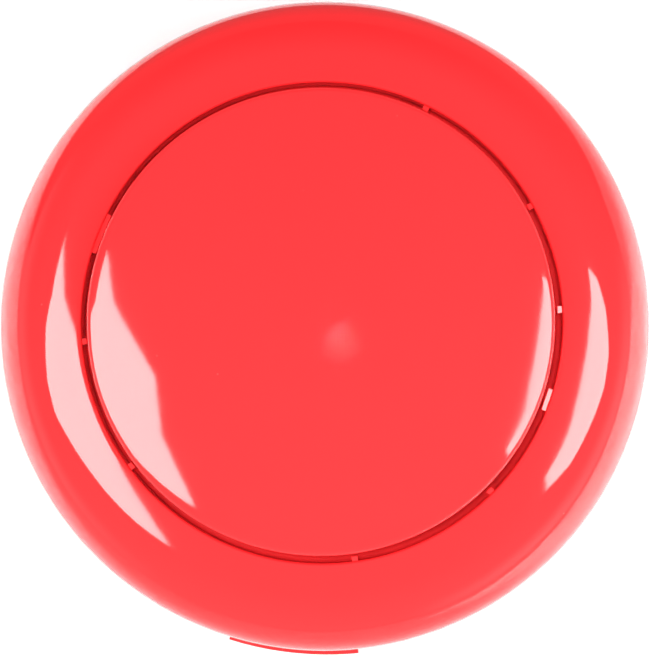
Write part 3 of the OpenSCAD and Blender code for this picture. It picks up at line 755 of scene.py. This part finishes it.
def housing_outline():
    """The closed outline that turns into the upper housing: outside, well, and back up the inside."""
    under_z = WELL_Z - WELL_FLOOR
    outside = outer_outline(0, JOINT_Z)
    foot = outside.pop(0)
    rim_lean = math.degrees(math.asin((RIM_EDGE[0] - TOP_X) / (TOP_R - RIM_EDGE_R)))
    rim = outside + arc(RIM_EDGE, RIM_EDGE_R, rim_lean, -90, 12)[1:]
    well = [(r, z) for r, z in eased([
        (OPENING_R, WELL_Z + 4 * MM, 0), (OPENING_R, WELL_Z, 0.5 * MM), (6.2 * MM, WELL_Z, 0.15 * MM),
        (6.2 * MM, BOARD_TOP_Z + 0.8 * MM, 0.1 * MM), (8.4 * MM, BOARD_TOP_Z + 0.8 * MM, 0.15 * MM),
        (8.4 * MM, under_z, 0.3 * MM), (OPENING_R + WELL_WALL, under_z, 0.3 * MM),
        (OPENING_R + WELL_WALL, RIM_EDGE[1] - 2.4 * MM, 0)])]
    inside = [p for p in reversed(outer_outline(WALL, JOINT_Z)) if p[0] > OPENING_R + WELL_WALL]
    inner_foot = inside.pop()
    lip = eased([(inner_foot[0], inner_foot[1] + 1 * MM, 0), (inner_foot[0], JOINT_Z, 0.2 * MM),
                 (foot[0], JOINT_Z, 0.25 * MM), (foot[0], JOINT_Z + 1 * MM, 0)])[1:-1]
    return rim + well + inside + lip


def make_housing(paint):
    """The shoulder and well, with slots for the hooks, screw bosses, spring seats, posts and ribs."""
    under_z = WELL_Z - WELL_FLOOR
    bm = bmesh.new()
    add_lathe(bm, housing_outline(), steps=256)
    shell = new_object("housing_shell", bm)
    slots = bmesh.new()
    for angle in HOOK_ANGLES:
        add_box(slots, (25.4 * MM, -3.5 * MM, under_z - 1 * MM),
                (28.9 * MM, 3.5 * MM, WELL_Z + 1 * MM), angle, 0)
    carve(shell, new_object("slot_cutter", slots))

    bm = bmesh.new()
    bm.from_mesh(shell.data)
    for angle in HOOK_ANGLES:
        centre = polar(angle, BOSS_RING_R)
        add_lathe(bm, eased([(1.55 * MM, 9.45 * MM, 0.2 * MM), (3.2 * MM, 9.45 * MM, 0.3 * MM),
                             (3.2 * MM, BOSS_TOP_Z, 0), (1.55 * MM, BOSS_TOP_Z, 0)]),
                  32, centre)
    for angle in SPRING_ANGLES:
        add_lathe(bm, eased([(3.3 * MM, WELL_Z - 0.1 * MM, 0), (4.2 * MM, WELL_Z - 0.1 * MM, 0),
                             (4.2 * MM, WELL_Z + 1 * MM, 0.2 * MM), (3.3 * MM, WELL_Z + 1 * MM, 0.2 * MM)]),
                  40, polar(angle, SPRING_RING_R))
        add_lathe(bm, eased([(1.0 * MM, BOARD_TOP_Z, 0.1 * MM), (2.6 * MM, BOARD_TOP_Z, 0.2 * MM),
                             (2.6 * MM, under_z + 0.1 * MM, 0), (1.0 * MM, under_z + 0.1 * MM, 0)]),
                  32, polar(angle, BOARD_POST_RING_R))
    rib_in, rib_out = BUTTON_R + 0.25 * MM, OPENING_R + 0.3 * MM
    rib = [(rib_in, WELL_Z - 0.1 * MM), (rib_out, WELL_Z - 0.1 * MM), (rib_out, RIB_TOP_Z - 0.32 * MM),
           (rib_in + 0.12 * MM, RIB_TOP_Z), (rib_in, RIB_TOP_Z - 0.12 * MM)]
    for angle, width in RIBS:
        add_prism(bm, rib, width * MM / 2, angle)
    bm.to_mesh(shell.data)
    bm.free()
    smooth(shell.data)
    place(shell, "housing", "shiny_red_plastic", paint, "top_housing")


# ---------------------------------------------------------------- button


def make_button(paint):
    """The crowned cap with its rounded edge and skirt, its snap hooks, spring seats and centre post."""
    centre_z = CROWN_Z - CROWN_R
    edge_x = BUTTON_R - BUTTON_EDGE_R
    edge_z = centre_z + math.sqrt((CROWN_R - BUTTON_EDGE_R) ** 2 - edge_x ** 2)
    lean = math.degrees(math.atan2(edge_x, edge_z - centre_z))
    inner_r = BUTTON_R - SKIRT_T
    inner_lean = math.degrees(math.asin((inner_r - 0.8 * MM) / (CROWN_R - SKIRT_T)))
    outline = arc((0, centre_z), CROWN_R, 0, lean, 48)
    outline += arc((edge_x, edge_z), BUTTON_EDGE_R, lean, 90, 12)[1:]
    outline += eased([(BUTTON_R, SKIRT_Z + 1 * MM, 0), (BUTTON_R, SKIRT_Z, 0.3 * MM),
                      (inner_r, SKIRT_Z, 0.3 * MM), (inner_r, SKIRT_Z + 1 * MM, 0)])
    inner = arc((0, centre_z), CROWN_R - SKIRT_T, inner_lean, 0, 24)
    outline += [(inner_r, inner[0][1] - 0.7 * MM)] + inner
    bm = bmesh.new()
    add_lathe(bm, outline, steps=256)

    def under(r):
        return centre_z + math.sqrt((CROWN_R - SKIRT_T / 2) ** 2 - r ** 2)

    seat_z = spring_high.z
    for angle in SPRING_ANGLES:
        add_lathe(bm, eased([(0, seat_z - 2 * MM, 0), (2.2 * MM, seat_z - 2 * MM, 0.4 * MM),
                             (2.2 * MM, seat_z, 0.1 * MM), (3.8 * MM, seat_z, 0.3 * MM),
                             (3.8 * MM, under(SPRING_RING_R) - 0.4 * MM, 0),
                             (0, under(SPRING_RING_R) - 0.4 * MM, 0)]), 40, polar(angle, SPRING_RING_R))
    post_z = dome_high.z + 0.05 * MM
    add_lathe(bm, eased([(0, post_z, 0), (3 * MM, post_z, 0.3 * MM), (3 * MM, under(3 * MM), 0),
                         (0, under(3 * MM), 0)]), 40)
    for angle in (45, 135):
        add_box(bm, (-7 * MM, -0.6 * MM, 27 * MM), (7 * MM, 0.6 * MM, under(7 * MM)), angle, 0.15 * MM)
    barb_top = WELL_Z - WELL_FLOOR - 0.1 * MM
    root_z = CROWN_Z - 3 * MM
    hook_r, arm_r, barb_r = 27 * MM, 28.6 * MM, 29.8 * MM
    hook = [(hook_r, HOOK_Z), (arm_r, HOOK_Z), (barb_r, barb_top - 0.4 * MM), (barb_r, barb_top),
            (arm_r, barb_top), (arm_r, root_z), (hook_r, root_z)]
    for angle in HOOK_ANGLES:
        add_prism(bm, hook, 3 * MM, angle)
    cap = new_object("button_shell", bm)
    place(cap, "button", "button_red_plastic", paint, "button_cap")


# ---------------------------------------------------------------- lower housing

FOOT_STAND = base_low.z
FLOOR_Z = FOOT_STAND + WALL
PARTING_Z = JOINT_Z - 0.25 * MM
BASE_EDGE_R = 2 * MM
CASE_ANGLES = (30, 150, 270)
LIP_ANGLES = (-96, 84)
LIP_SWEEP = 23
RETAINER_SCREW_X = 19 * MM
BAY_X, BAY_FRONT_Y, BAY_BACK_Y, BAY_TOP_Z = 26 * MM, -27.6 * MM, -5.1 * MM, 14.2 * MM
BAY_WALL = 1.8 * MM
TAB_X, TAB_W = 15 * MM, 6 * MM
DOOR_SCREW_Y = -1.6 * MM
DOOR_EAR_R = 4 * MM
DOOR_X = door_high.x
DOOR_FRONT_Y = BAY_FRONT_Y - 0.65 * MM
DOOR_BACK_Y = BAY_BACK_Y + 0.65 * MM
SPEAKER_Y = (gasket_low.y + gasket_high.y) / 2
FOOT_NODES = ("foot_front_right", "foot_rear_right", "foot_rear_left", "foot_front_left")


def middle(node):
    """The middle of a node's box, as (x, y)."""
    low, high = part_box(node)
    return ((low.x + high.x) / 2, (low.y + high.y) / 2)


def side_radius(z):
    """How far the outside reaches from the axis at that height."""
    return SIDE_CENTRE[0] + math.sqrt(SIDE_R ** 2 - (WIDEST_Z - z) ** 2)


def lower_outline():
    """The closed outline of the lower housing: base, rounded edge, side, tongue and floor."""
    edge_z = FOOT_STAND + BASE_EDGE_R
    edge_r = SIDE_CENTRE[0] + math.sqrt((SIDE_R - BASE_EDGE_R) ** 2 - (WIDEST_Z - edge_z) ** 2)
    fall = math.degrees(math.asin((WIDEST_Z - edge_z) / (SIDE_R - BASE_EDGE_R)))
    top_fall = math.degrees(math.asin((WIDEST_Z - PARTING_Z) / SIDE_R))
    tongue_r = side_radius(PARTING_Z) - WALL - 0.1 * MM
    outline = [(0, FOOT_STAND)] + arc((edge_r, edge_z), BASE_EDGE_R, 180, 90 + fall, 12)
    outline += arc(SIDE_CENTRE, SIDE_R, 90 + fall, 90 + top_fall, 8)[1:-1]
    top = [(side_radius(PARTING_Z - 1 * MM), PARTING_Z - 1 * MM, 0),
           (side_radius(PARTING_Z), PARTING_Z, 0.25 * MM),
           (tongue_r, PARTING_Z, 0.1 * MM), (tongue_r, PARTING_Z + 1.8 * MM, 0.2 * MM),
           (tongue_r - 1 * MM, PARTING_Z + 1.8 * MM, 0.2 * MM), (tongue_r - 1 * MM, FLOOR_Z, 0.4 * MM),
           (0, FLOOR_Z, 0)]
    kept = [p for p in outline if p[1] < PARTING_Z - 1 * MM]
    return kept + eased(top)[1:]


def door_outline(grow=0.0):
    """Outline of the battery door, counter-clockwise: a plate with a round ear for its screw."""
    x, ear = DOOR_X + grow, DOOR_EAR_R + grow
    front, back = DOOR_FRONT_Y - grow, DOOR_BACK_Y + grow
    ear_arc = [(ear * math.cos(a), DOOR_SCREW_Y + ear * math.sin(a))
               for a in (math.pi * k / 16 for k in range(17))]
    return [(-x, front), (x, front), (x, back), (ear, back)] + ear_arc + [(-ear, back), (-x, back)]


def make_base_shell():
    """The turned shell, with everything that opens through the base cut out. Its lips are added with the
    posts inside.
    """
    bm = bmesh.new()
    add_lathe(bm, lower_outline(), steps=256)
    shell = new_object("base_shell", bm)
    bm = bmesh.new()
    add_slab(bm, door_outline(0.15 * MM), FOOT_STAND - 1 * MM, FLOOR_Z + 0.1 * MM, 0.01 * MM, 0.01 * MM, 1)
    carve(shell, new_object("recess_cutter", bm))
    below = FOOT_STAND - 1 * MM
    through = FLOOR_Z + 0.1 * MM
    case_hole = drill(3.3 * MM, below, through, FOOT_STAND)
    case_spots = [polar(a, BOSS_RING_R) for a in CASE_ANGLES]
    grille_hole = drill(1 * MM, below, through, FOOT_STAND)
    grille_rings = [(0, 1), (4 * MM, 6), (8 * MM, 12)]
    grille = [(r * math.cos(TURN * i / n), SPEAKER_Y + r * math.sin(TURN * i / n))
              for r, n in grille_rings for i in range(n)]
    foot_pocket = drill(3.6 * MM, below, FOOT_STAND + 0.8 * MM, FOOT_STAND, 0.1 * MM)
    foot_spots = [middle(name) for name in FOOT_NODES]
    carve(shell, cutter([case_hole, grille_hole, foot_pocket], [case_spots, grille, foot_spots]))
    return shell


def make_bay():
    """The walls and ceiling of the battery bay, with slots for the door's tabs and the solder tags."""
    bm = bmesh.new()
    add_box(bm, (-BAY_X - BAY_WALL, BAY_FRONT_Y - BAY_WALL, FOOT_STAND + 0.1 * MM),
            (BAY_X + BAY_WALL, BAY_BACK_Y + BAY_WALL, BAY_TOP_Z + 1.4 * MM), 0, 0.3 * MM)
    bay = new_object("bay", bm)
    bm = bmesh.new()
    add_box(bm, (-BAY_X, BAY_FRONT_Y, 0), (BAY_X, BAY_BACK_Y, BAY_TOP_Z), 0, 0.4 * MM)
    carve(bay, new_object("bay_cutter", bm))
    bm = bmesh.new()
    add_slab(bm, door_outline(0.3 * MM), 0, FLOOR_Z, 0.01 * MM, 0.01 * MM, 1)
    carve(bay, new_object("recess_cutter", bm))
    bm = bmesh.new()
    for x in (-TAB_X, TAB_X):
        half = TAB_W / 2 + 0.4 * MM
        add_box(bm, (x - half, BAY_FRONT_Y - BAY_WALL - 1 * MM, FLOOR_Z - 0.5 * MM),
                (x + half, BAY_FRONT_Y + 0.2 * MM, FLOOR_Z + 3.2 * MM), 0, 0)
    for name in ("battery_cell_1", "battery_cell_2"):
        y = middle(name)[1]
        add_box(bm, (BAY_X - 0.7 * MM, y - 1.4 * MM, BAY_TOP_Z - 1 * MM),
                (BAY_X + 0.1 * MM, y + 1.4 * MM, BAY_TOP_Z + 2.4 * MM), 0, 0)
    carve(bay, new_object("slot_cutter", bm))
    return bay


def make_base_inside():
    """Posts for the case screws, the door screw's boss, and the speaker's cradle and bosses."""
    bm = bmesh.new()
    for angle in CASE_ANGLES:
        add_lathe(bm, eased([(3.32 * MM, FOOT_STAND + 0.4 * MM, 0), (4.2 * MM, FOOT_STAND + 0.4 * MM, 0),
                             (4.2 * MM, 9.4 * MM, 0.3 * MM), (1.8 * MM, 9.4 * MM, 0.2 * MM),
                             (1.8 * MM, 5.6 * MM, 0.2 * MM), (3.32 * MM, 5.6 * MM, 0.1 * MM)]), 40,
                  polar(angle, BOSS_RING_R))
    boss_z = FLOOR_Z + 0.05 * MM
    add_lathe(bm, eased([(1.8 * MM, boss_z, 0.2 * MM), (2.8 * MM, boss_z, 0.2 * MM),
                         (2.8 * MM, 8.5 * MM, 0.3 * MM), (0, 8.5 * MM, 0), (0, 7.5 * MM, 0),
                         (1.8 * MM, 7.5 * MM, 0.1 * MM)]), 40, (0, DOOR_SCREW_Y))
    add_box(bm, (-2.4 * MM, BAY_BACK_Y + 0.5 * MM, FLOOR_Z + 0.1 * MM),
            (2.4 * MM, DOOR_SCREW_Y - 1.9 * MM, 8.4 * MM))
    cradle_top = gasket_high.z + 0.8 * MM
    add_lathe(bm, eased([(14.8 * MM, FLOOR_Z - 0.1 * MM, 0), (16.2 * MM, FLOOR_Z - 0.1 * MM, 0),
                         (16.2 * MM, cradle_top, 0.2 * MM), (14.8 * MM, cradle_top, 0.2 * MM)]), 96,
              (0, SPEAKER_Y))
    for x in (-RETAINER_SCREW_X, RETAINER_SCREW_X):
        add_lathe(bm, eased([(1 * MM, FLOOR_Z - 0.1 * MM, 0), (2.5 * MM, FLOOR_Z - 0.1 * MM, 0),
                             (2.5 * MM, cradle_top, 0.2 * MM), (1 * MM, cradle_top, 0.1 * MM)]), 32,
                  (x, SPEAKER_Y))
    lip_r = -base_low.y
    for angle in LIP_ANGLES:
        root = OUTER_R - 1.8 * MM
        add_lathe(bm, eased([(root, 4.65 * MM, 0), (lip_r, 5.6 * MM, 0.25 * MM), (lip_r, 7.8 * MM, 0.25 * MM),
                             (root, 8.35 * MM, 0)]), 40, (0, 0), angle - LIP_SWEEP / 2, LIP_SWEEP)
    return new_object("base_inside", bm)


def make_lower_housing(paint):
    """The turned base, its battery bay and its bosses, as one piece."""
    shell = join(make_base_shell(), make_bay(), make_base_inside())
    shell.name = "lower_shell"
    place(shell, "housing", "shiny_red_plastic", paint, "bottom_housing")


def make_door(paint):
    """The battery door with its finger grooves, sunk screw hole and hinge tabs."""
    bm = bmesh.new()
    add_slab(bm, door_outline(), FOOT_STAND, FOOT_STAND + 1.8 * MM)
    door = new_object("door_plate", bm)
    bm = bmesh.new()
    for x in (3 * MM * k for k in range(-3, 4)):
        add_box(bm, (x - 0.4 * MM, DOOR_BACK_Y - 3.4 * MM, FOOT_STAND - 0.5 * MM),
                (x + 0.4 * MM, DOOR_BACK_Y - 1.2 * MM, FOOT_STAND + 0.3 * MM), 0, 0.15 * MM)
    carve(door, new_object("groove_cutter", bm))
    sink = [(0, 0.2 * MM), (2.6 * MM, 0.2 * MM), (2.6 * MM, FOOT_STAND), (2.45 * MM, FOOT_STAND + 0.05 * MM),
            (1.4 * MM, FOOT_STAND + 1.3 * MM), (1.4 * MM, 5 * MM), (0, 5 * MM)]
    carve(door, cutter([sink], [[(0, DOOR_SCREW_Y)]]))
    bm = bmesh.new()
    bm.from_mesh(door.data)
    tab_z = FLOOR_Z + 0.15 * MM
    for x in (-TAB_X, TAB_X):
        add_box(bm, (x - TAB_W / 2, DOOR_FRONT_Y + 0.02 * MM, FOOT_STAND + 1.5 * MM),
                (x + TAB_W / 2, DOOR_FRONT_Y + 1 * MM, tab_z + 1.15 * MM), 0, 0.15 * MM)
        add_box(bm, (x - TAB_W / 2, DOOR_FRONT_Y - 1.95 * MM, tab_z),
                (x + TAB_W / 2, DOOR_FRONT_Y + 0.98 * MM, tab_z + 1.2 * MM), 0, 0.25 * MM)
    bm.to_mesh(door.data)
    bm.free()
    smooth(door.data)
    place(door, "battery_door", "shiny_red_plastic", paint, "battery_door")


def make_feet(paint):
    """Rubber feet with a rounded edge and a shallow dish in the sole."""
    for name in FOOT_NODES:
        low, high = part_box(name)
        r = (high.x - low.x) / 2
        bm = bmesh.new()
        outline = eased([(0, 0.25 * MM, 0), (1.6 * MM, 0.2 * MM, 0.4 * MM), (2.1 * MM, 0, 0.3 * MM),
                         (r - 0.1 * MM, 0, 0.35 * MM), (r, high.z, 0.1 * MM), (0, high.z, 0)])
        add_lathe(bm, outline, 48, middle(name))
        place(new_object(name + "_pad", bm), "housing", "foot_rubber", paint, name)


# ---------------------------------------------------------------- springs, dome and cells


def make_return_springs(paint):
    """Coil springs of steel wire, each as tall as its CAD node."""
    wire_r = 0.25 * MM
    for i in (1, 2, 3):
        name = f"return_spring_{i}"
        low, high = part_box(name)
        x, y = middle(name)
        bm = bmesh.new()
        turns = coil(3 * MM - wire_r, 3 * MM - wire_r, high.z - low.z - 2 * wire_r, 6)
        add_wire(bm, [p + Vector((x, y, low.z + wire_r)) for p in turns], wire_r * 0.98)
        spring = place(new_object(name + "_wire", bm), "housing", "spring_steel", paint, name)
        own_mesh(spring)


def make_dome(paint):
    """Silicone dome of the switch: a flange, a thin skirt and a solid top."""
    pill_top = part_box("carbon_pill")[1].z
    outline = eased([(5.2 * MM, dome_low.z, 0.1 * MM), (7 * MM, dome_low.z, 0.1 * MM),
                     (7 * MM, dome_low.z + 0.8 * MM, 0.2 * MM), (5.8 * MM, dome_low.z + 0.8 * MM, 0.3 * MM),
                     (3.4 * MM, pill_top + 0.4 * MM, 0.4 * MM), (3.2 * MM, dome_high.z, 0.3 * MM),
                     (0, dome_high.z, 0), (0, pill_top, 0), (2.8 * MM, pill_top, 0.3 * MM)])
    bm = bmesh.new()
    add_lathe(bm, outline, 64)
    dome = place(new_object("dome_skin", bm), "housing", "silicone", paint, "switch_dome")
    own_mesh(dome)


def lay_along_x(obj, node, way):
    """Turns a piece made up +Z from the origin to run along X inside that node's box."""
    low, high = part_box(node)
    start = low.x if way > 0 else high.x
    turn = Matrix.Rotation(math.radians(90 * way), 4, "Y")
    obj.data.transform(Matrix.Translation((start, (low.y + high.y) / 2, (low.z + high.z) / 2)) @ turn)


def make_cells(paints):
    """Two AAA cells: a printed film over a steel can, with the negative face and the positive nub bare."""
    low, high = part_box("battery_cell_1")
    length = high.x - low.x
    body = length - 0.8 * MM
    film = eased([(4.5 * MM, 0.02 * MM, 0), (4.95 * MM, 0.02 * MM, 0.2 * MM),
                  (5.24 * MM, 0.3 * MM, 0.25 * MM), (5.24 * MM, body - 0.3 * MM, 0.25 * MM),
                  (4.9 * MM, body, 0.2 * MM), (4.3 * MM, body, 0.05 * MM),
                  (4.3 * MM, body - 0.15 * MM, 0), (4.5 * MM, body - 0.3 * MM, 0)])
    can = eased([(0, 0.1 * MM, 0), (3.4 * MM, 0.1 * MM, 0.1 * MM), (3.7 * MM, 0.25 * MM, 0.1 * MM),
                 (4.0 * MM, 0.05 * MM, 0.1 * MM), (4.6 * MM, 0.05 * MM, 0.1 * MM),
                 (4.6 * MM, body - 0.4 * MM, 0),
                 (4.1 * MM, body - 0.25 * MM, 0.1 * MM), (2.9 * MM, body - 0.3 * MM, 0.1 * MM),
                 (1.9 * MM, body - 0.2 * MM, 0.2 * MM), (1.85 * MM, length - 0.02 * MM, 0.3 * MM),
                 (0, length - 0.02 * MM, 0)])
    films = {1: paints["cell_jacket"], 2: cell_film("cell_film_2", -1)}
    for i, way in ((1, 1), (2, -1)):
        node = f"battery_cell_{i}"
        for part, outline, slot, paint in (("film", film, "cell_jacket", films[i]),
                                           ("can", can, "plated_steel", paints["plated_steel"])):
            bm = bmesh.new()
            add_lathe(bm, outline, 72)
            piece = new_object(f"{node}_{part}", bm)
            lay_along_x(piece, node, way)
            place(piece, "housing", slot, paint, node)


def make_contact_springs(paint):
    """Tapered coils that press on the cells."""
    wire_r = 0.2 * MM
    for i, way in ((1, 1), (2, -1)):
        node = f"contact_spring_{i}"
        low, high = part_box(node)
        bm = bmesh.new()
        points = coil(3.55 * MM, 2.15 * MM, high.x - low.x - 2 * wire_r, 4)
        add_wire(bm, [p + Vector((0, 0, wire_r)) for p in points], wire_r * 0.98)
        spring = new_object(node + "_wire", bm)
        lay_along_x(spring, node, way)
        place(spring, "housing", "plated_steel", paint, node)


def paint_cad_nodes(paints):
    """Gives each CAD node that stays in view its material, and smooths its round faces."""
    for row in frame["record"]["subparts"]:
        node = frame["nodes"][row["node"]]
        node.data.materials.clear()
        node.data.materials.append(paints[row["material_slot"]])
        smooth(node.data, 30)


# ---------------------------------------------------------------- the scene

make_camera()
make_studio()
paints = all_paints()
paint_cad_nodes(paints)
make_housing(paints["shiny_red_plastic"])
make_lower_housing(paints["shiny_red_plastic"])
make_button(paints["button_red_plastic"])
make_door(paints["shiny_red_plastic"])
make_feet(paints["foot_rubber"])
make_return_springs(paints["spring_steel"])
make_dome(paints["silicone"])
make_cells(paints)
make_contact_springs(paints["plated_steel"])
